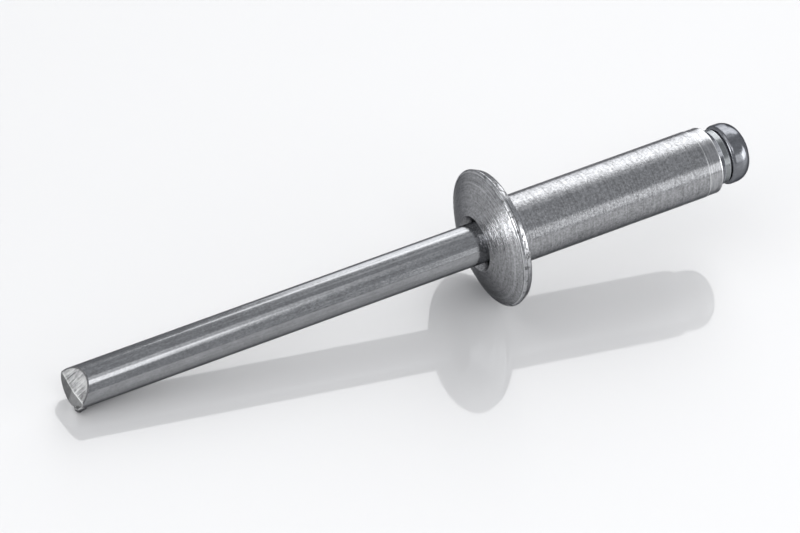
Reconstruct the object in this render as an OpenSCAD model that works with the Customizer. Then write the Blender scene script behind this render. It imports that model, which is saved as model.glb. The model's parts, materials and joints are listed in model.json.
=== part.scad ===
// Blind rivet, unset: a domed tubular body on a headed mandrel.
// It lies on the rim of its flange and on the cut end of the mandrel.
// Millimetres. Heights along the rivet are measured from the face that the flange seats on.

/* [Shank] */
// Outside diameter of the shank
shank_d = 4.8; // [4.4:0.1:5.6]
// Length of the shank from under the flange to its end
shank_l = 16.7; // [8:0.1:24]
// Length of the land at the end of the shank, where it is closed in on the mandrel
land_l = 1; // [0.5:0.05:1.6]
// How much lower the land is than the shank, per side
land_step = 0.03; // [0.01:0.01:0.08]
// Rounding of the end edge of the shank
end_round = 0.09; // [0.05:0.01:0.25]

/* [Flange] */
// Diameter of the flange
flange_d = 9.8; // [8.6:0.1:12]
// Thickness of the flange at its edge
rim_t = 0.68; // [0.5:0.01:1]
// Rounding of the front edge of the rim
rim_round = 0.2; // [0.1:0.01:0.24]
// How far the rim draws in towards the seating face, per side
rim_draft = 0.2; // [0.05:0.01:0.3]
// Height of the dome above the rim
dome_h = 1.04; // [0.6:0.01:1.6]
// Fillet under the flange, where it meets the shank
root_fillet = 0.2; // [0.05:0.01:0.4]
// Width of the flare round the mouth of the bore
mouth_flare = 0.49; // [0.2:0.01:0.6]
// Depth of the flare
mouth_depth = 0.46; // [0.2:0.01:0.6]

/* [Mandrel stem] */
// Diameter of the mandrel
mandrel_d = 2.9; // [2.4:0.05:3.1]
// Gap between the mandrel and the bore, per side
bore_gap = 0.05; // [0.03:0.01:0.15]
// The same gap where the land closes in on the mandrel
nip_gap = 0.01; // [0.005:0.005:0.02]
// Length of the stem that stands out of the dome
stem_out = 30.9; // [24:0.1:36]
// Diameter of the neck where the mandrel snaps
neck_d = 2.1; // [1.6:0.05:2.3]
// Length of the flat floor of the neck
neck_floor = 0.15; // [0.05:0.05:0.4]
// Angle between the two flanks of the neck
neck_angle = 90; // [60:1:120]
// Distance of the neck from the seat of the mandrel head
neck_at = 2.4; // [1.4:0.1:4]

/* [Mandrel head] */
// Largest diameter of the head
head_d = 4.26; // [4:0.02:5]
// Length of the head past the shank
head_l = 2.7; // [2.4:0.05:3.4]
// Width of the flat ring that bears on the end of the shank
seat_w = 0.34; // [0.2:0.01:0.4]
// Diameter of the collar under the head
collar_d = 3.9; // [3.8:0.02:4]
// Length of the cone that leads to the collar
cone_l = 0.44; // [0.3:0.01:0.55]
// Length of the collar
collar_l = 0.4; // [0.2:0.01:0.5]
// Width of the groove between the collar and the head
groove_w = 0.12; // [0.06:0.01:0.2]
// Depth of the groove
groove_deep = 0.08; // [0.03:0.01:0.12]
// Rounding at the back of the head
back_round = 0.26; // [0.1:0.01:0.35]
// Rounding at the front of the head
front_round = 1.08; // [0.5:0.02:1.2]

/* [Pinch-cut point] */
// Direction in which the broad side face falls away, turned from straight down
point_turn = 195.5; // [0:0.5:359]
// Slope of the broad side face
side_tilt = 32.5; // [20:0.5:50]
// Distance of the side face from the axis, at the end of the mandrel
side_start = 0.11; // [0:0.01:0.5]
// Slope of the end face
end_tilt = 1.5; // [0.5:0.1:6]
// Direction in which the end face falls away, turned from the side face's
end_turn = 152; // [120:1:180]
// Slope of the small chipped face at the lower end of the ridge
chip_tilt = 6; // [4:0.5:15]
// Direction in which the chipped face falls away, turned from the side face's
chip_turn = 106; // [90:1:125]
// Distance of the chipped face from the axis, at the end of the mandrel
chip_start = 0.27; // [0.1:0.01:0.5]
// Slope of the torn face under the chip
torn_tilt = 50; // [35:1:60]
// Direction in which the torn face falls away, turned from the side face's
torn_turn = 125; // [110:1:140]
// Distance of the torn face from the axis, at the end of the mandrel
torn_start = 1.11; // [0.9:0.01:1.25]

/* [Hidden] */
$fn = 96;

// The bore and its mouth follow the mandrel
stem_r = mandrel_d / 2;
bore_r = stem_r + bore_gap;
nip_r = stem_r + nip_gap;
shank_r = shank_d / 2;
mouth_r = bore_r + mouth_flare;

// The rim bulges to the flange diameter, and its front edge rolls over into the dome
rim_r = flange_d / 2;
crease_r = rim_r - rim_round;
roll_z = rim_round - rim_t;
draft_r = rim_r - rim_draft;

// Where the flank of the rim, drawn from its back edge, touches the roll
flank = [draft_r - crease_r, -roll_z];
flank_turn = atan2(flank.y, flank.x) - acos(rim_round / norm(flank));
rim_touch = [crease_r, roll_z] + rim_round * [cos(flank_turn), sin(flank_turn)];

// The dome is part of a sphere through the crease and the mouth
mouth_z = -rim_t - dome_h;
dome_c = (crease_r * crease_r - mouth_r * mouth_r + rim_t * rim_t - mouth_z * mouth_z)
    / (2 * dome_h);
dome_r = norm([crease_r, dome_c + rim_t]);

// The land at the end of the shank
land_r = shank_r - land_step;
land_z = shank_l - land_l;

// The mandrel ends here, on its axis
tip_z = mouth_z - stem_out;

// Stations along the mandrel head
seat_r = nip_r + seat_w;
collar_r = collar_d / 2;
cone_z = shank_l + cone_l;
collar_z = cone_z + collar_l;
groove_z = collar_z + groove_w;
head_z = shank_l + head_l;
head_r = head_d / 2;
groove_r = collar_r - groove_deep;
neck_z = shank_l - neck_at;
neck_r = neck_d / 2;
flank_l = (stem_r - neck_r) / tan(neck_angle / 2);

// The roundings of the head stop where its groove and its back leave off
back_r = min(back_round, head_r - groove_r);
front_r = min(front_round, head_z - groove_z - back_r);

// How deep the point is cut at a place [x, y] in its cross section
function slope_depth(p, turn, tilt, start) =
    (p.x * cos(turn) + p.y * sin(turn) - start) * tan(tilt);
function cut_depth(p) = max(
    slope_depth(p, 0, side_tilt, side_start),
    slope_depth(p, end_turn, end_tilt, 0),
    slope_depth(p, chip_turn, chip_tilt, chip_start),
    slope_depth(p, torn_turn, torn_tilt, torn_start)
);
// The same for the place on the skin of the stem that lies at an angle from straight down
function skin_depth(angle) = cut_depth(stem_r * [cos(angle - point_turn), sin(angle - point_turn)]);

// Lying down: the roll of the rim and the lowest edge of the cut end both touch z = 0
foot_z = tip_z + skin_depth(0);
span = roll_z - foot_z;
drop = crease_r - stem_r;
lean = atan2(drop, span) + asin(rim_round / norm([span, drop]));
axis_h = crease_r * cos(lean) + rim_round - roll_z * sin(lean);

// The ends of the rivet along X, which the origin stands midway between
tip_x = min([for (a = [0:359]) (tip_z + skin_depth(a)) * cos(lean) + stem_r * cos(a) * sin(lean)]);
nose_x = (head_z - front_r) * cos(lean) + (head_r - front_r) * sin(lean) + front_r;

// Lays a rivet that stands along Z down on the floor, its head towards +X
module lie_down() {
    translate([-(tip_x + nose_x) / 2, 0, axis_h]) rotate([0, 90 - lean, 0]) children();
}

// The half section of the flange: dome, rolled rim and flat seating face
module flange_section() {
    polygon([[0, roll_z], [0, 0], [draft_r, 0], rim_touch, [crease_r, roll_z]]);
    translate([crease_r, roll_z]) circle(rim_round);
    intersection() {
        translate([0, dome_c]) circle(dome_r);
        translate([0, mouth_z]) square([crease_r, dome_h + rim_t / 2]);
    }
}

// The half section of the shank, with its root fillet, its land and its rounded end
module shank_section() {
    polygon([
        [0, roll_z], [shank_r, roll_z], [shank_r, land_z - land_step], [land_r, land_z],
        [land_r, shank_l - end_round], [land_r - end_round, shank_l], [0, shank_l]
    ]);
    translate([land_r - end_round, shank_l - end_round]) circle(end_round);
    difference() {
        translate([stem_r, roll_z / 2]) square([shank_r - stem_r + root_fillet, root_fillet - roll_z / 2]);
        translate([shank_r + root_fillet, root_fillet]) circle(root_fillet);
    }
}

// The half section of the bore: flared mouth, clearance, and the nip that holds the mandrel
module bore_section() {
    beyond = 1;
    nip_run = 2 * (bore_r - nip_r);
    flare = mouth_flare / mouth_depth;
    polygon([
        [0, mouth_z - beyond], [mouth_r + beyond * flare, mouth_z - beyond],
        [bore_r, mouth_z + mouth_depth], [bore_r, land_z], [nip_r, land_z + nip_run],
        [nip_r, shank_l + beyond], [0, shank_l + beyond]
    ]);
}

// The half section of the mandrel up to the end of the shank, with its break neck
module stem_section() {
    polygon([
        [0, tip_z - stem_r], [stem_r, tip_z - stem_r],
        [stem_r, neck_z - neck_floor / 2 - flank_l], [neck_r, neck_z - neck_floor / 2],
        [neck_r, neck_z + neck_floor / 2], [stem_r, neck_z + neck_floor / 2 + flank_l],
        [stem_r, shank_l], [0, shank_l]
    ]);
}

// The half section of the mandrel head: seating ring, cone, collar, groove and rounded head
module head_section() {
    polygon([
        [0, shank_l], [seat_r, shank_l], [collar_r, cone_z], [collar_r, collar_z],
        [groove_r, collar_z], [groove_r, groove_z], [head_r - back_r, groove_z],
        [head_r, groove_z + back_r], [head_r, head_z - front_r], [head_r - front_r, head_z], [0, head_z]
    ]);
    translate([head_r - back_r, groove_z + back_r]) circle(back_r);
    intersection() {
        translate([head_r - front_r, head_z - front_r]) circle(front_r);
        translate([0, groove_z + back_r]) square([head_r, head_z]);
    }
}

// Everything below one face of the point
module face_cut(turn, tilt, start) {
    waste = 4 * mandrel_d;
    rotate([0, 0, turn]) translate([start, 0, 0]) rotate([0, -tilt, 0])
        translate([-waste / 2, -waste / 2, -waste]) cube(waste);
}

// The flange and the hollow shank, one piece
module rivet_body() {
    color([0.62, 0.62, 0.63]) lie_down() difference() {
        union() {
            rotate_extrude() flange_section();
            rotate_extrude() shank_section();
        }
        rotate_extrude() bore_section();
    }
}

// The stem with its point and break neck, and the formed head, one piece
module mandrel() {
    color([0.72, 0.72, 0.73]) lie_down() difference() {
        rotate_extrude() union() {
            stem_section();
            head_section();
        }
        translate([0, 0, tip_z]) rotate([0, 0, point_turn]) {
            face_cut(0, side_tilt, side_start);
            face_cut(end_turn, end_tilt, 0);
            face_cut(chip_turn, chip_tilt, chip_start);
            face_cut(torn_turn, torn_tilt, torn_start);
        }
    }
}

rivet_body();
mandrel();
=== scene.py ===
"""A blind rivet as it lies on a glossy white table: its finishes, the studio and the camera."""

import json
import logging
import math
from dataclasses import dataclass, field
from enum import Enum
from typing import Any, ClassVar, Optional, Sequence, Union

import bmesh
import bpy
from mathutils import Euler, Matrix, Vector, noise


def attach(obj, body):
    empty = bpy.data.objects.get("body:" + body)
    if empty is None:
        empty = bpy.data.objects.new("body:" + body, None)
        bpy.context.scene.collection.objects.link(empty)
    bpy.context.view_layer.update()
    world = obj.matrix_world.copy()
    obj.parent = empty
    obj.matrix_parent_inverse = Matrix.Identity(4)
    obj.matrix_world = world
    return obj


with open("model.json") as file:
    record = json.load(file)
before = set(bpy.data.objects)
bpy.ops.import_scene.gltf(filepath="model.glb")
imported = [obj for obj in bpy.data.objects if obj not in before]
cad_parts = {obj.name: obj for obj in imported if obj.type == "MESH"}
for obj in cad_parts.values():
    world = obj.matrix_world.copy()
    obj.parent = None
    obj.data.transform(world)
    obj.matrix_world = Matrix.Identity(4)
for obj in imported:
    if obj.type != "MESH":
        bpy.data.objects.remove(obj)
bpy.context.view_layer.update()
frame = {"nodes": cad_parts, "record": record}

LOG = logging.getLogger("rivet")
MM = 0.001
# The middle of a noise and of a tone, and the share of a line's half width that is full
MIDDLE = 0.5
LINE_CORE = 0.4
Colour = tuple[float, float, float]
Span = tuple[float, float]
WHITE: Colour = (1.0, 1.0, 1.0)
Operand = Union["Socket", float, int]
LinkOrValue = Union["Socket", float, int, Sequence[float]]
Surface = tuple["Socket", "Socket", "Socket"]


class Socket:
    """A node's output, with Python's operators as Math nodes."""

    def __init__(self, shop: "NodeShop", output: bpy.types.NodeSocket) -> None:
        """Args: shop: the tree that the output is in. output: the node's output."""
        self.shop = shop
        self.output = output

    def math(self, operation: str, *others: Operand) -> "Socket":
        """A Math node whose first input is this output.

        Args:
            operation: the Math node's operation.
            others: its second and third inputs.

        Returns:
            The result's socket.
        """
        return self.shop.node("ShaderNodeMath", {"operation": operation}, 0, self, *others)

    def __add__(self, other: Operand) -> "Socket":
        """Sum."""
        return self.math("ADD", other)

    __radd__ = __add__

    def __mul__(self, other: Operand) -> "Socket":
        """Product."""
        return self.math("MULTIPLY", other)

    __rmul__ = __mul__

    def __sub__(self, other: Operand) -> "Socket":
        """Difference."""
        return self.math("SUBTRACT", other)

    def __rsub__(self, other: Operand) -> "Socket":
        """Difference from a number."""
        return self.shop.node("ShaderNodeMath", {"operation": "SUBTRACT"}, 0, other, self)

    def __rtruediv__(self, other: Operand) -> "Socket":
        """A number divided by this output."""
        return self.shop.node("ShaderNodeMath", {"operation": "DIVIDE"}, 0, other, self)

    def __abs__(self) -> "Socket":
        """Size without its sign."""
        return self.math("ABSOLUTE")

    def clamp(self) -> "Socket":
        """The same, kept from 0 to 1."""
        return self.shop.node("ShaderNodeClamp", {}, 0, self, 0.0, 1.0)

    def smooth(self, low: float, high: float) -> "Socket":
        """A smooth step between two values of this output.

        Args:
            low: where the step is 0.
            high: where it is 1, above low or below it.

        Returns:
            The step's socket.
        """
        settings = {"interpolation_type": "SMOOTHSTEP"}
        ends = (low, high, 0.0, 1.0) if low <= high else (high, low, 1.0, 0.0)
        return self.shop.node("ShaderNodeMapRange", settings, 0, self, *ends)

    def step(self, edge: float, fade: Span) -> "Socket":
        """A smooth step at an edge.

        Args:
            edge: where the edge is.
            fade: how far from the edge the step is 0, and how far from it the step is 1.

        Returns:
            The step's socket.
        """
        return self.smooth(edge + fade[0], edge + fade[1])


class NodeShop:
    """Makes the nodes of one material."""

    # A colour Mix node's sockets: its factor, its two colours, and its result
    MIX_INPUTS: ClassVar[tuple[int, int, int]] = (0, 6, 7)
    MIX_RESULT: ClassVar[int] = 2

    def __init__(self, tree: bpy.types.NodeTree) -> None:
        """Args: tree: an empty node tree."""
        self.tree = tree
        tree.nodes.clear()

    def node(self, kind: str, settings: dict[str, Any], output: Union[int, str], *inputs: LinkOrValue,
             **named: LinkOrValue) -> Socket:
        """Adds a node, sets it, and then fills its inputs.

        Args:
            kind: the node's type.
            settings: its properties.
            output: which of its outputs is returned.
            inputs: values or links, in the order of the node's inputs.
            named: values or links by input name, with _ for a space.

        Returns:
            The chosen output.
        """
        made = self.tree.nodes.new(kind)
        for name, value in settings.items():
            setattr(made, name, value)
        for socket, value in zip(made.inputs, inputs):
            self._fill(socket, value)
        for name, value in named.items():
            self._fill(made.inputs[name.replace("_", " ")], value)
        return Socket(self, made.outputs[output])

    def _fill(self, socket: bpy.types.NodeSocket, value: LinkOrValue) -> None:
        """Links an input, or sets its value."""
        if isinstance(value, Socket):
            self.tree.links.new(value.output, socket)
        elif socket.type == "RGBA" and not isinstance(value, (int, float)):
            socket.default_value = (*value, 1.0)[:4]
        else:
            socket.default_value = value

    def finish(self, kind: str, shader: Socket) -> None:
        """Links a shader to the tree's output.

        Args:
            kind: the output node's type.
            shader: the shader.
        """
        self.tree.links.new(shader.output, self.tree.nodes.new(kind).inputs["Surface"])

    def mix(self, factor: LinkOrValue, a: LinkOrValue, b: LinkOrValue) -> Socket:
        """Mixes two colours.

        Args:
            factor: 0 for a, 1 for b.
            a: the first colour.
            b: the second colour.

        Returns:
            The mixed colour.
        """
        made = self.tree.nodes.new("ShaderNodeMix")
        made.data_type = "RGBA"
        for index, value in zip(self.MIX_INPUTS, (factor, a, b)):
            self._fill(made.inputs[index], value)
        return Socket(self, made.outputs[self.MIX_RESULT])

    def noise(self, where: Socket, scale: float, detail: float, roughness: float,
              distortion: float = 0.0) -> Socket:
        """A noise from 0 to 1.

        Args:
            where: its coordinates.
            scale: its scale.
            detail: its octaves.
            roughness: how much the finer octaves count.
            distortion: how far it is warped.

        Returns:
            The noise's value.
        """
        return self.node("ShaderNodeTexNoise", {}, "Fac", Vector=where, Scale=scale, Detail=detail,
                         Roughness=roughness, Distortion=distortion)

    def bump(self, height: Socket, depth_mm: float, strength: float = 1.0,
             over: Optional[Socket] = None) -> Socket:
        """A bump.

        Args:
            height: its height, from 0 to 1.
            depth_mm: what a height of 1 stands for.
            strength: its strength.
            over: another bump's normal, below it.

        Returns:
            The bumped normal.
        """
        named: dict[str, LinkOrValue] = {"Height": height, "Distance": depth_mm * MM,
                                         "Strength": strength}
        if over is not None:
            named["Normal"] = over
        return self.node("ShaderNodeBump", {}, "Normal", **named)


@dataclass(frozen=True)
class RivetFrame:
    """The rivet's own frame: the middle of the seating face, and the axis towards the mandrel head."""

    seat: Vector
    axis: Vector

    @classmethod
    def from_record(cls, record: dict[str, Any]) -> "RivetFrame":
        """Reads the frame from the seating face's mount.

        Args:
            record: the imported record.

        Returns:
            The frame.
        """
        mount = next(m for m in record["mounts"] if m["name"] == "flange_seat")
        place = Vector(mount["pos_m"])
        return cls(Vector((place.x, 0.0, place.z)), Vector(mount["axis"]).normalized())

    @property
    def turn(self) -> Euler:
        """The turn that lays a rivet that stands along Z down on the table."""
        return Euler((0.0, math.atan2(self.axis.x, self.axis.z), 0.0))

    @property
    def matrix(self) -> Matrix:
        """From millimetres in the rivet's own frame to metres on the table."""
        return Matrix.Translation(self.seat) @ self.turn.to_matrix().to_4x4() @ Matrix.Scale(MM, 4)


@dataclass(frozen=True)
class Where:
    """Where a point of the surface is, in millimetres, as sockets."""

    point: Socket
    x: Socket
    y: Socket
    z: Socket
    radius: Socket
    INNERMOST: ClassVar[float] = 0.2

    @classmethod
    def on(cls, shop: NodeShop, rivet: RivetFrame) -> "Where":
        """Works it out from Object coordinates.

        Args:
            shop: the material's nodes.
            rivet: the rivet's own frame.

        Returns:
            The sockets.
        """
        raw = shop.node("ShaderNodeTexCoord", {}, "Object")
        point = shop.node("ShaderNodeMapping", {"vector_type": "TEXTURE"}, 0, raw, tuple(rivet.seat),
                          tuple(rivet.turn), (MM, MM, MM))
        split = shop.node("ShaderNodeSeparateXYZ", {}, "X", point)
        x, y, z = (Socket(shop, split.output.node.outputs[name]) for name in ("X", "Y", "Z"))
        return cls(point, x, y, z, (x * x + y * y).math("SQRT"))

    def squeezed(self, shop: NodeShop, across: float, along: float) -> Socket:
        """The point with its cross section and its axis scaled, for streaks that run one way.

        Args:
            shop: the material's nodes.
            across: the scale of x and y.
            along: the scale of z.

        Returns:
            The coordinates.
        """
        scales = (across, across, along)
        return shop.node("ShaderNodeVectorMath", {"operation": "MULTIPLY"}, 0, self.point, scales)

    def hoops(self, shop: NodeShop, along: float, around: float) -> Socket:
        """Coordinates for marks that run round the shank.

        Args:
            shop: the material's nodes.
            along: the scale along the axis.
            around: the scale round the axis.

        Returns:
            The coordinates.
        """
        return shop.node("ShaderNodeCombineXYZ", {}, 0, self.x * around, self.y * around,
                         self.z * along)

    def rings(self, shop: NodeShop, radial: float, around: float) -> Socket:
        """Coordinates for marks that run round the axis.

        Args:
            shop: the material's nodes.
            radial: the scale of the radius.
            around: the scale of the direction round the axis.

        Returns:
            The coordinates.
        """
        spread = around / self.radius.math("MAXIMUM", self.INNERMOST)
        return shop.node("ShaderNodeCombineXYZ", {}, 0, self.radius * radial, self.x * spread,
                         self.y * spread)


@dataclass(frozen=True)
class Mark:
    """One kind of fine mark: its noise, and what it does to the tone, the roughness and the height.

    The scales are per millimetre, scale across the way that the marks run, and other_scale along it.
    What on_land says is added to tone on the land at the end of the shank.
    """

    scale: float
    detail: float
    ragged: float
    other_scale: float = 0.0
    tone: float = 0.0
    on_land: float = 0.0
    rough: float = 0.0
    depth_mm: float = 0.0

    def plain(self, shop: NodeShop, where: Where) -> Socket:
        """The marks, running no particular way."""
        return shop.noise(where.point, self.scale, self.detail, self.ragged)

    def hoops(self, shop: NodeShop, where: Where) -> Socket:
        """The marks, running round the shank."""
        return self._scaled(shop, where.hoops(shop, self.scale, self.other_scale))

    def rings(self, shop: NodeShop, where: Where) -> Socket:
        """The marks, running round the axis on the dome."""
        return self._scaled(shop, where.rings(shop, self.scale, self.other_scale))

    def drawn(self, shop: NodeShop, where: Where) -> Socket:
        """The marks, running along the wire."""
        return self._scaled(shop, where.squeezed(shop, self.scale, self.other_scale))

    def _scaled(self, shop: NodeShop, place: Socket) -> Socket:
        """The marks on coordinates that already have their scale."""
        return shop.noise(place, 1.0, self.detail, self.ragged)


@dataclass(frozen=True)
class Stripe:
    """A thin line: how far its middle lies from an edge of the piece, its half width and its tone."""

    offset: float
    width: float
    tone: float = 0.0

    def across(self, where: Socket, edge: float = 0.0) -> Socket:
        """The line.

        Args:
            where: what the line is drawn across.
            edge: the edge that its middle is measured from.

        Returns:
            1 in the middle of the line, and 0 beside it.
        """
        return abs(where - (edge + self.offset)).smooth(self.width, self.width * LINE_CORE)


@dataclass(frozen=True)
class Steel:
    """What every steel finish here shares."""

    name: str
    colour: Colour
    rough: float
    edge: Colour = (0.25, 0.25, 0.26)
    contrast: float = 0.5
    brightest: float = 0.95

    def build(self, part: Union["RivetBody", "Mandrel"]) -> bpy.types.Material:
        """Makes the material.

        Args:
            part: the sub-assembly that it dresses, for its sizes.

        Returns:
            The material.
        """
        material = bpy.data.materials.new(self.name)
        material.use_nodes = True
        shop = NodeShop(material.node_tree)
        where = Where.on(shop, part.rivet)
        colour, rough, normal = self.surface(shop, where, part)
        shader = shop.node("ShaderNodeBsdfPrincipled", {}, "BSDF", Base_Color=colour, Metallic=1.0,
                           Roughness=rough, Normal=normal, Specular_Tint=self.edge)
        shop.finish("ShaderNodeOutputMaterial", shader)
        return material

    def toned(self, shop: NodeShop, tone: Socket, tint: Colour = WHITE) -> Socket:
        """The steel's colour at a tone.

        Args:
            shop: the material's nodes.
            tone: 0 for the darkest, 0.5 for the plain colour and 1 for the brightest.
            tint: what the colour is multiplied by.

        Returns:
            The colour.
        """
        plain = [c * t for c, t in zip(self.colour, tint)]
        dark = tuple(c * (1.0 - self.contrast) for c in plain)
        bright = tuple(min(c * (1.0 + self.contrast), self.brightest) for c in plain)
        return shop.mix(tone.clamp(), dark, bright)

    def surface(self, shop: NodeShop, where: Where, part: Union["RivetBody", "Mandrel"]) -> Surface:
        """The colour, the roughness and the normal.

        Args:
            shop: the material's nodes.
            where: the surface point.
            part: the sub-assembly, for its sizes.

        Returns:
            Their sockets.
        """
        raise NotImplementedError


@dataclass(frozen=True)
class BodySteel(Steel):
    """Tumbled steel: a fine grained shank, turning marks on the dome and a nicked rim, with painted
    highlight lines at the land step, the shank end and the rim's front edge, and a painted shade line on
    the rim.
    """

    grain: Mark = Mark(9.0, 2.0, 0.7, tone=0.9, on_land=-0.4, rough=0.16, depth_mm=0.0055)
    speckle: Mark = Mark(6.0, 1.0, 0.6, tone=1.0, on_land=-0.6)
    blotch: Mark = Mark(2.2, 3.0, 0.6, tone=0.4)
    faint: Mark = Mark(0.45, 2.0, 0.5, rough=0.12)
    hoop: Mark = Mark(10.0, 2.0, 0.6, other_scale=0.6, tone=0.8, on_land=0.6, depth_mm=0.003)
    ring: Mark = Mark(8.0, 2.0, 0.6, other_scale=0.9, tone=0.7, depth_mm=0.014)
    hair: Mark = Mark(30.0, 1.0, 0.5, other_scale=2.4, tone=0.8, depth_mm=0.026)
    grain_strength: float = 0.9
    hoop_strength: float = 0.8
    hoop_calm: float = 0.5

    rim_fade: Span = (-0.02, 0.04)
    dome_fade: Span = (0.03, -0.05)
    shank_fade: Span = (0.05, 0.25)
    land_fade: Span = (0.0, 0.05)
    dome_rough: float = 0.05
    land_rough: float = -0.04
    land_tone: float = 0.12

    # Painted highlights: bright lines on the step at the land and on the rounded edge at the shank's end,
    # where these edges catch light.
    step: Stripe = Stripe(-0.04, 0.07)
    lip: Stripe = Stripe(-0.05, 0.09)
    lip_radius: Span = (2.15, 2.28)
    # Painted highlight: a bright line along the rim's front edge, on the rim face only.
    front_edge_highlight: Stripe = Stripe(0.08, 0.05, tone=0.5)
    front_reach: Span = (-0.50, -0.56)
    # Painted shade: a dark line on the rim behind its front edge.
    painted_shade_line: Stripe = Stripe(-0.40, 0.06, tone=-0.5)
    arc: Stripe = Stripe(4.14, 0.06, tone=0.3)
    line_rough: float = 0.12
    painted_line_highlight: Colour = (0.80, 0.81, 0.82)
    # How the hoop marks break up the painted highlight line on the step.
    step_highlight_gain: float = 1.6
    step_highlight_loss: float = 0.1

    nick_range: Span = (0.37, 0.45)
    nick_rest: float = 0.8
    nick_tone: float = 0.9
    nick_depth: float = 0.02

    def surface(self, shop: NodeShop, where: Where, part: "RivetBody") -> Surface:
        """The grain and the fine marks round the shank, its land, the turned dome and the rim, with painted
        highlight and shade lines.
        """
        rim = where.radius.step(part.crease_r, self.rim_fade)
        dome = where.z.step(-part.rim_t, self.dome_fade) * (1.0 - rim)
        shank = where.z.smooth(*self.shank_fade)
        land = where.z.step(part.land_from, self.land_fade)
        step = self.step.across(where.z, part.land_from)
        lip = self.lip.across(where.z, part.shank_end) * where.radius.smooth(*self.lip_radius)
        # Painted highlight along the rim's front edge.
        front_edge_highlight = self.front_edge_highlight.across(where.radius, part.crease_r)
        front_edge_highlight = front_edge_highlight * where.z.smooth(*self.front_reach)
        # Painted shade line on the rim.
        painted_shade_line = self.painted_shade_line.across(where.z) * rim
        arc = self.arc.across(where.radius)

        grain, speckle, blotch, faint = (mark.plain(shop, where) for mark in
                                         (self.grain, self.speckle, self.blotch, self.faint))
        hoops = self.hoop.hoops(shop, where)
        rings = self.ring.rings(shop, where)
        hair = self.hair.rings(shop, where)
        nicks = blotch.smooth(*self.nick_range)

        tone = MIDDLE + (blotch - MIDDLE) * self.blotch.tone
        tone = tone + (grain - MIDDLE) * (self.grain.tone + land * self.grain.on_land)
        tone = tone + (speckle - MIDDLE) * (self.speckle.tone + land * self.speckle.on_land)
        tone = tone + (hoops - MIDDLE) * shank * (self.hoop.tone + land * self.hoop.on_land)
        turned = (rings - MIDDLE) * self.ring.tone + (hair - MIDDLE) * self.hair.tone
        tone = tone + (turned + arc * self.arc.tone) * dome
        # The land's own lighter tone, and the painted highlight on the rim's front edge.
        tone = tone + land * self.land_tone + front_edge_highlight * self.front_edge_highlight.tone
        # Painted shade: the dark line on the rim behind its front edge; the nicks are the rim's own marks.
        tone = tone + painted_shade_line * self.painted_shade_line.tone + (nicks - self.nick_rest) * rim * self.nick_tone
        rough = self.rough + (grain - MIDDLE) * self.grain.rough + (faint - MIDDLE) * self.faint.rough
        rough = rough + dome * self.dome_rough + land * self.land_rough
        rough = rough + (step + lip + front_edge_highlight) * self.line_rough

        normal = shop.bump(grain, self.grain.depth_mm, self.grain_strength)
        calm_hoops = hoops * shank * (1.0 - land * self.hoop_calm)
        normal = shop.bump(calm_hoops, self.hoop.depth_mm, self.hoop_strength, normal)
        normal = shop.bump(rings * dome, self.ring.depth_mm, 1.0, normal)
        normal = shop.bump(hair * dome, self.hair.depth_mm, 1.0, normal)
        normal = shop.bump(nicks * rim, self.nick_depth, 1.0, normal)
        # Painted highlight: the step and shank-end lines turn the colour towards a bright grey.
        step_and_lip_highlight = (step * (hoops * self.step_highlight_gain - self.step_highlight_loss) + lip).clamp()
        return shop.mix(step_and_lip_highlight, self.toned(shop, tone), self.painted_line_highlight), rough, normal


class Cut(Enum):
    """The four faces of the mandrel's pinched-off point."""

    SIDE = "broad side face"
    END = "end face"
    CHIP = "chipped face"
    TORN = "torn face"


@dataclass(frozen=True)
class CutFace:
    """One flat cut of the mandrel's point, in the section's own millimetres."""

    turn: float
    tilt: float
    start: float

    def depth(self, where: Where) -> Socket:
        """How far along the axis this face lies from the end of the mandrel."""
        turn = math.radians(self.turn)
        slope = math.tan(math.radians(self.tilt))
        return (where.x * math.cos(turn) + where.y * math.sin(turn) - self.start) * slope


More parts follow.
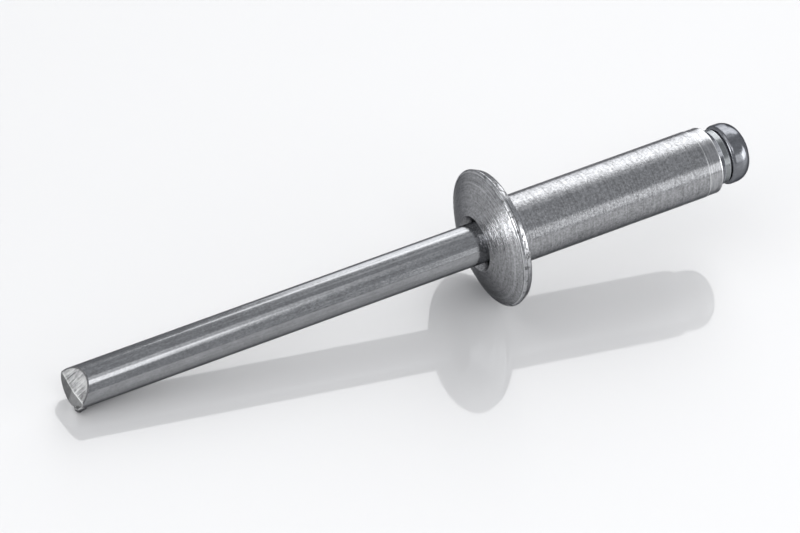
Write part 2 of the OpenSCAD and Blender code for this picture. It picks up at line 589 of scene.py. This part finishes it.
@dataclass(frozen=True)
class CutMetal:
    """Bright metal on the cut faces, with what each mark and edge does to its brightness; the chip face,
    the ridge and the side face's lower border carry painted highlights, and its upper border painted shade.
    """

    dark: Colour = (0.13, 0.13, 0.135)
    bright: Colour = (0.62, 0.625, 0.62)
    plain: float = 0.38
    side_look: float = 0.06
    # Painted light: the chip face is made lighter, as a face that catches more light.
    chip_lit_tone: float = 0.45
    # Painted highlight: a bright line along the ridge where the side face meets the others.
    ridge_highlight: float = 0.3

    scratch_way: tuple[float, float, float] = (-0.300, 0.954, 0.020)
    scratch: Mark = Mark(16.0, 3.0, 0.65, tone=2.6)
    scratch_bend: float = 0.3
    scratch_height: float = 0.8
    rubble: Mark = Mark(4.0, 4.0, 0.75, tone=0.9)
    rubble_height: float = 0.5
    patch: Mark = Mark(1.3, 2.0, 0.5, tone=0.8)

    face_fade: Span = (0.035, 0.02)
    chip_fade: Span = (0.03, 0.015)
    ridge_fade: Span = (0.09, 0.02)
    verge_fade: Span = (-0.12, -0.07)
    upper_range: Span = (0.3, -0.1)
    # Painted shade on the upper part of the side face's border, and a painted highlight on its lower part.
    verge_upper_shade: float = 2.0
    verge_lower_highlight: float = 0.8

    lip_fade: Span = (0.003, 0.015)
    lip_reach: Span = (-30.0, -30.5)
    lip_dark: float = 0.85
    lip_rubble: float = 1.5

    def faces(self, shop: NodeShop, where: Where, part: "Mandrel") -> Surface:
        """The cut faces: where they are, their scratches, and their metal.

        Args:
            shop: the material's nodes.
            where: the surface point.
            part: the mandrel, for its sizes.

        Returns:
            A mask, the scratches' height and the colour.
        """
        side, end, chip, torn = (part.cuts[cut].depth(where) for cut in Cut)
        rest = end.math("MAXIMUM", chip).math("MAXIMUM", torn)
        above = where.z - part.tip_z
        on_side = (above - side).smooth(*self.face_fade)
        on_rest = (above - rest).smooth(*self.face_fade)
        on_chip = (above - chip.math("MAXIMUM", torn)).smooth(*self.chip_fade)
        ridge = abs(side - rest).smooth(*self.ridge_fade)
        verge = where.radius.step(part.stem_r, self.verge_fade) * on_side
        upper = where.x.smooth(*self.upper_range)
        lip = where.radius.step(part.stem_r, self.lip_fade) * where.z.smooth(*self.lip_reach)

        x, y, z = self.scratch_way
        across = where.x * x + where.y * y + where.z * z
        streak = shop.node("ShaderNodeCombineXYZ", {}, 0, across * self.scratch.scale, where.x, where.z)
        scratches = shop.noise(streak, 1.0, self.scratch.detail, self.scratch.ragged, self.scratch_bend)
        rubble = self.rubble.plain(shop, where)
        patchy = self.patch.plain(shop, where)

        # Painted light on the chip face and a painted highlight on the ridge.
        look = self.plain + on_side * self.side_look + on_chip * self.chip_lit_tone + ridge * self.ridge_highlight
        look = look + (scratches - MIDDLE) * on_side * self.scratch.tone
        look = look + (patchy - MIDDLE) * on_side * self.patch.tone + (rubble - MIDDLE) * self.rubble.tone
        # Painted shade on the border's upper arc, painted highlight on its lower edge.
        look = look - verge * (upper * self.verge_upper_shade - self.verge_lower_highlight)
        look = look - lip * (self.lip_dark - (rubble - MIDDLE) * self.lip_rubble)
        sheared = on_side.math("MAXIMUM", on_rest).math("MAXIMUM", lip)
        height = scratches * self.scratch_height + rubble * self.rubble_height
        return sheared, height, shop.mix(look.clamp(), self.dark, self.bright)


@dataclass(frozen=True)
class MandrelSteel(Steel):
    """Smooth drawn wire with a formed head, and bright scratched metal where it was cut."""

    head_tint: Colour = (0.68, 0.69, 0.72)
    collar_tint: Colour = (0.84, 0.87, 0.86)
    drawing: Mark = Mark(6.0, 3.0, 0.65, other_scale=0.10, tone=0.4, depth_mm=0.0012)
    grain: Mark = Mark(9.0, 2.0, 0.7, other_scale=5.0, tone=0.6, rough=0.12, depth_mm=0.0016)
    blotch: Mark = Mark(1.4, 4.0, 0.65, other_scale=0.7, tone=0.5, rough=0.08)
    strength: float = 0.8

    head_fade: Span = (0.02, 0.06)
    collar_fade: Span = (-0.05, -0.02)
    collar_band: Stripe = Stripe(0.0, 0.26)
    # Painted highlights: bright lines along the collar's back and front edges, where these edges catch
    # light.
    collar_back_highlight: Stripe = Stripe(0.0, 0.04)
    collar_front_highlight: Stripe = Stripe(-0.02, 0.04)
    edge_highlight_tone: float = 0.8
    edge_rough: float = 0.10
    head_rough: float = 0.05

    cut: CutMetal = CutMetal()
    cut_rough: float = 0.24
    cut_depth: float = 0.03

    def surface(self, shop: NodeShop, where: Where, part: "Mandrel") -> Surface:
        """Draw lines and fine grain on the stem, the head's own tone, painted highlight lines on the
        collar's edges, and the cut faces.
        """
        head = where.z.step(part.head_from, self.head_fade)
        on_collar = where.radius.step(part.collar_r, self.collar_fade)
        back, front = part.collar
        ring = self.collar_band.across(where.z, (back + front) / 2) * on_collar
        # Painted highlights: the collar's two edge lines.
        edges = self.collar_back_highlight.across(where.z, back) + self.collar_front_highlight.across(where.z, front)
        edges = edges * on_collar
        drawn, grain, blotch = (mark.drawn(shop, where) for mark in (self.drawing, self.grain, self.blotch))
        tone = MIDDLE + (drawn - MIDDLE) * self.drawing.tone + (grain - MIDDLE) * self.grain.tone
        # The collar's edge lines carry a painted highlight in the colour.
        tone = tone + (blotch - MIDDLE) * self.blotch.tone + edges * self.edge_highlight_tone
        colour = shop.mix(head, self.toned(shop, tone), self.toned(shop, tone, self.head_tint))
        colour = shop.mix(ring, colour, self.toned(shop, tone, self.collar_tint))

        sheared, scratched, metal = self.cut.faces(shop, where, part)
        colour = shop.mix(sheared, colour, metal)
        rough = self.rough + (grain - MIDDLE) * self.grain.rough + (blotch - MIDDLE) * self.blotch.rough
        rough = rough + head * self.head_rough + edges * self.edge_rough + sheared * self.cut_rough
        normal = shop.bump(drawn, self.drawing.depth_mm, self.strength)
        normal = shop.bump(grain, self.grain.depth_mm, self.strength, normal)
        normal = shop.bump(scratched * sheared, self.cut_depth, 1.0, normal)
        return colour, rough, normal


@dataclass
class RivetBody:
    """The domed flange and the hollow shank, one piece. Sizes in millimetres, along the rivet's axis."""

    rivet: RivetFrame
    node: str = "rivet_body"
    crease_r: float = 4.70
    rim_t: float = 0.68
    land_from: float = 15.70
    shank_end: float = 16.70

    def dress(self) -> bpy.types.Material:
        """Gives the body its finish.

        Returns:
            The finish.
        """
        finish = BodySteel(name="body_steel_finish", colour=(0.358, 0.362, 0.372), rough=0.18)
        steel = finish.build(self)
        frame["nodes"][self.node].material_slots[0].material = steel
        LOG.info("%s: dressed in %s", self.node, steel.name)
        return steel


@dataclass
class TornBurr:
    """The small torn lip that the cutter left on the underside of the mandrel's point."""

    rivet: RivetFrame
    steel: bpy.types.Material
    stem_r: float
    turn: float = -40.0
    spread: float = 46.0
    start: float = -32.60
    length: float = 0.85
    inner_r: float = 1.34
    sink: float = 0.03
    proud: float = 0.19
    crest_power: Span = (0.6, 0.5)
    crest_lean: float = 0.5
    rows: int = 26
    smoothing: float = 0.3
    seed: int = 5
    ragged_scale: Span = (3.1, 2.3)
    ragged_level: float = 0.4
    ragged_noise: tuple[float, float, int] = (0.9, 2.1, 4)
    ragged_out: float = 0.7
    ragged_turn: float = 0.12
    ragged_along: float = 0.05

    def build(self) -> bpy.types.Object:
        """Shapes the lip from a finely cut block, bent round the stem.

        Returns:
            The lip.
        """
        shape = bmesh.new()
        bmesh.ops.create_cube(shape, size=1.0)
        bmesh.ops.subdivide_edges(shape, edges=shape.edges[:], cuts=self.rows, use_grid_fill=True)
        for vertex in shape.verts:
            vertex.co = self._bent(vertex.co)
        bmesh.ops.smooth_vert(shape, verts=shape.verts[:], factor=self.smoothing, use_axis_x=True,
                              use_axis_y=True, use_axis_z=True)
        bmesh.ops.transform(shape, matrix=self.rivet.matrix, verts=shape.verts[:])
        bmesh.ops.recalc_face_normals(shape, faces=shape.faces[:])
        mesh = bpy.data.meshes.new("torn_burr")
        shape.to_mesh(mesh)
        shape.free()
        for face in mesh.polygons:
            face.use_smooth = True
        mesh.materials.append(self.steel)
        made = bpy.data.objects.new("torn_burr", mesh)
        bpy.context.scene.collection.objects.link(made)
        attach(made, "root")
        LOG.info("torn_burr: %d faces", len(mesh.polygons))
        return made

    def _bent(self, place: Vector) -> Vector:
        """A place of the unit block, bent round the stem: x round it, y along it and z outwards."""
        wide, long = self.ragged_scale
        spot = Vector((place.x * wide + self.seed, place.y * long, self.ragged_level))
        ragged = noise.fractal(spot, *self.ragged_noise)
        bulge = max(0.0, 1.0 - (2.0 * place.x) ** 2) ** self.crest_power[0]
        bulge *= max(0.0, 1.0 - (2.0 * place.y + self.crest_lean) ** 2) ** self.crest_power[1]
        skin = self.stem_r - self.inner_r - self.sink
        out = skin + self.proud * bulge * (1.0 + self.ragged_out * ragged)
        radius = self.inner_r + out * (place.z + 0.5)
        angle = math.radians(self.turn + self.spread * place.x * (1.0 + self.ragged_turn * ragged))
        along = self.start + self.length * (place.y + 0.5) + self.ragged_along * ragged
        return Vector((radius * math.cos(angle), radius * math.sin(angle), along))


@dataclass
class Mandrel:
    """The headed wire, one piece, with its torn lip. Sizes in millimetres, along the rivet's axis."""

    rivet: RivetFrame
    node: str = "mandrel"
    stem_r: float = 1.45
    tip_z: float = -32.62
    head_from: float = 16.70
    collar: tuple[float, float] = (17.14, 17.54)
    collar_r: float = 1.95
    point_turn: float = 195.5
    cuts: dict[Cut, CutFace] = field(init=False)

    def __post_init__(self) -> None:
        """Lays out the four cut faces."""
        turn = self.point_turn
        self.cuts = {
            Cut.SIDE: CutFace(turn=turn, tilt=32.5, start=0.11),
            Cut.END: CutFace(turn=turn + 152.0, tilt=1.5, start=0.0),
            Cut.CHIP: CutFace(turn=turn + 106.0, tilt=6.0, start=0.27),
            Cut.TORN: CutFace(turn=turn + 125.0, tilt=50.0, start=1.11),
        }

    def dress(self) -> bpy.types.Material:
        """Gives the mandrel its finish.

        Returns:
            The finish.
        """
        finish = MandrelSteel(name="mandrel_steel_finish", colour=(0.335, 0.340, 0.350), rough=0.13)
        steel = finish.build(self)
        frame["nodes"][self.node].material_slots[0].material = steel
        LOG.info("%s: dressed in %s", self.node, steel.name)
        return steel

    def build(self) -> None:
        """Dresses the mandrel and adds the torn lip."""
        TornBurr(self.rivet, self.dress(), self.stem_r).build()


@dataclass(frozen=True)
class Softbox:
    """A rectangular softbox: place, aim and size in millimetres, radiance, and turn in degrees."""

    name: str
    place: tuple[float, float, float]
    aim: tuple[float, float, float]
    width: float
    height: float
    radiance: float
    spin: float = 0.0

    def build(self) -> bpy.types.Object:
        """Hangs the softbox.

        Returns:
            The lamp.
        """
        lamp = bpy.data.lights.new(self.name, "AREA")
        lamp.shape, lamp.size, lamp.size_y = "RECTANGLE", self.width * MM, self.height * MM
        lamp.energy = self.radiance * math.pi * lamp.size * lamp.size_y
        made = bpy.data.objects.new(self.name, lamp)
        place = Vector(self.place) * MM
        away = place - Vector(self.aim) * MM
        made.matrix_world = (Matrix.Translation(place) @ away.to_track_quat("Z", "Y").to_matrix().to_4x4()
                             @ Matrix.Rotation(math.radians(self.spin), 4, "Z"))
        bpy.context.scene.collection.objects.link(made)
        return made


@dataclass(frozen=True)
class Table:
    """The glossy white table top: a pale matt core under a frosted gloss and a clear skin."""

    side: float = 4.0
    core: Colour = (0.712, 0.709, 0.709)
    frost_tint: Colour = (0.97, 0.97, 0.97)
    frost_rough: float = 0.5
    frost_share: float = 0.12
    skin_rough: float = 0.05
    skin_share: float = 0.07

    def build(self) -> bpy.types.Object:
        """Lays the table top under the rivet.

        Returns:
            The table top.
        """
        shape = bmesh.new()
        bmesh.ops.create_grid(shape, x_segments=1, y_segments=1, size=self.side / 2)
        mesh = bpy.data.meshes.new("table")
        shape.to_mesh(mesh)
        shape.free()
        made = bpy.data.objects.new("table", mesh)
        bpy.context.scene.collection.objects.link(made)
        material = bpy.data.materials.new("table_gloss")
        material.use_nodes = True
        shop = NodeShop(material.node_tree)
        core = shop.node("ShaderNodeBsdfDiffuse", {}, 0, self.core)
        frost = shop.node("ShaderNodeBsdfAnisotropic", {}, 0, self.frost_tint, self.frost_rough)
        skin = shop.node("ShaderNodeBsdfAnisotropic", {}, 0, WHITE, self.skin_rough)
        under = shop.node("ShaderNodeMixShader", {}, 0, self.frost_share, core, frost)
        top = shop.node("ShaderNodeMixShader", {}, 0, self.skin_share, under, skin)
        shop.finish("ShaderNodeOutputMaterial", top)
        mesh.materials.append(material)
        return made


@dataclass(frozen=True)
class Shot:
    """The camera, at the photograph's viewing angle."""

    azimuth: float = -37.4425
    elevation: float = 40.9445
    roll: float = 11.2601
    distance: float = 0.45018
    focus: Vector = Vector((-0.000978, 0.000109, 0.0044))
    lens: float = 300.258
    sensor: float = 36.0
    clip: Span = (0.01, 20.0)

    def build(self) -> bpy.types.Object:
        """Sets the camera up.

        Returns:
            The camera.
        """
        data = bpy.data.cameras.new("camera")
        data.lens, data.sensor_width, data.sensor_fit = self.lens, self.sensor, "HORIZONTAL"
        data.clip_start, data.clip_end = self.clip
        made = bpy.data.objects.new("camera", data)
        az, el = math.radians(self.azimuth), math.radians(self.elevation)
        back = Vector((math.sin(az) * math.cos(el), -math.cos(az) * math.cos(el), math.sin(el)))
        right = Vector((math.cos(az), math.sin(az), 0.0))
        up = back.cross(right)
        turn = Matrix((right, up, back)).transposed().to_4x4()
        roll = Matrix.Rotation(math.radians(self.roll), 4, "Z")
        made.matrix_world = Matrix.Translation(self.focus + back * self.distance) @ turn @ roll
        bpy.context.scene.collection.objects.link(made)
        bpy.context.scene.camera = made
        return made


@dataclass
class Studio:
    """The table, the softboxes, the room and the camera."""

    room: Colour = (0.465, 0.475, 0.495)
    softboxes: tuple[Softbox, ...] = (
        Softbox("back_wall", (424, 300, 355), (424, 0, 355), 500, 550, 2.3, 22.4),
        Softbox("back_low", (165, 299, 79), (165, 0, 79), 120, 178, 2.3),
        Softbox("front_high", (-1, -102, 124), (-1, -101, 0), 58, 76, 1.45),
        Softbox("front_soft", (3, -82, 125), (3, -81, 0), 66, 118, 0.55),
        Softbox("front_low", (290, -347, 120), (165, 0, 5), 260, 200, 1.05),
        Softbox("top_strip", (330, 175, 600), (330, 176, 0), 310, 130, 0.35),
        Softbox("sky", (-260, 20, 380), (0, 0, 0), 420, 420, 0.8),
        Softbox("left_card", (-248, -26, 54), (0, 0, 5), 124, 112, 7.0),
        Softbox("back_left", (-170, 200, 85), (-3, 0, 5), 110, 90, 0.5),
        Softbox("right_card", (210, -112, 52), (15, 0, 5), 140, 95, 3.2),
    )

    def build(self) -> None:
        """Sets the studio up."""
        Table().build()
        for box in self.softboxes:
            box.build()
        world = bpy.data.worlds.new("room")
        world.use_nodes = True
        shop = NodeShop(world.node_tree)
        glow = shop.node("ShaderNodeBackground", {}, 0, self.room, 1.0)
        shop.finish("ShaderNodeOutputWorld", glow)
        bpy.context.scene.world = world
        bpy.context.scene.view_settings.view_transform = "Standard"
        Shot().build()


def main() -> None:
    """Dresses the rivet and sets up the studio."""
    logging.basicConfig(level=logging.INFO, format="%(name)s: %(message)s")
    rivet = RivetFrame.from_record(frame["record"])
    RivetBody(rivet).dress()
    Mandrel(rivet).build()
    Studio().build()


if __name__ == "__main__":
    main()
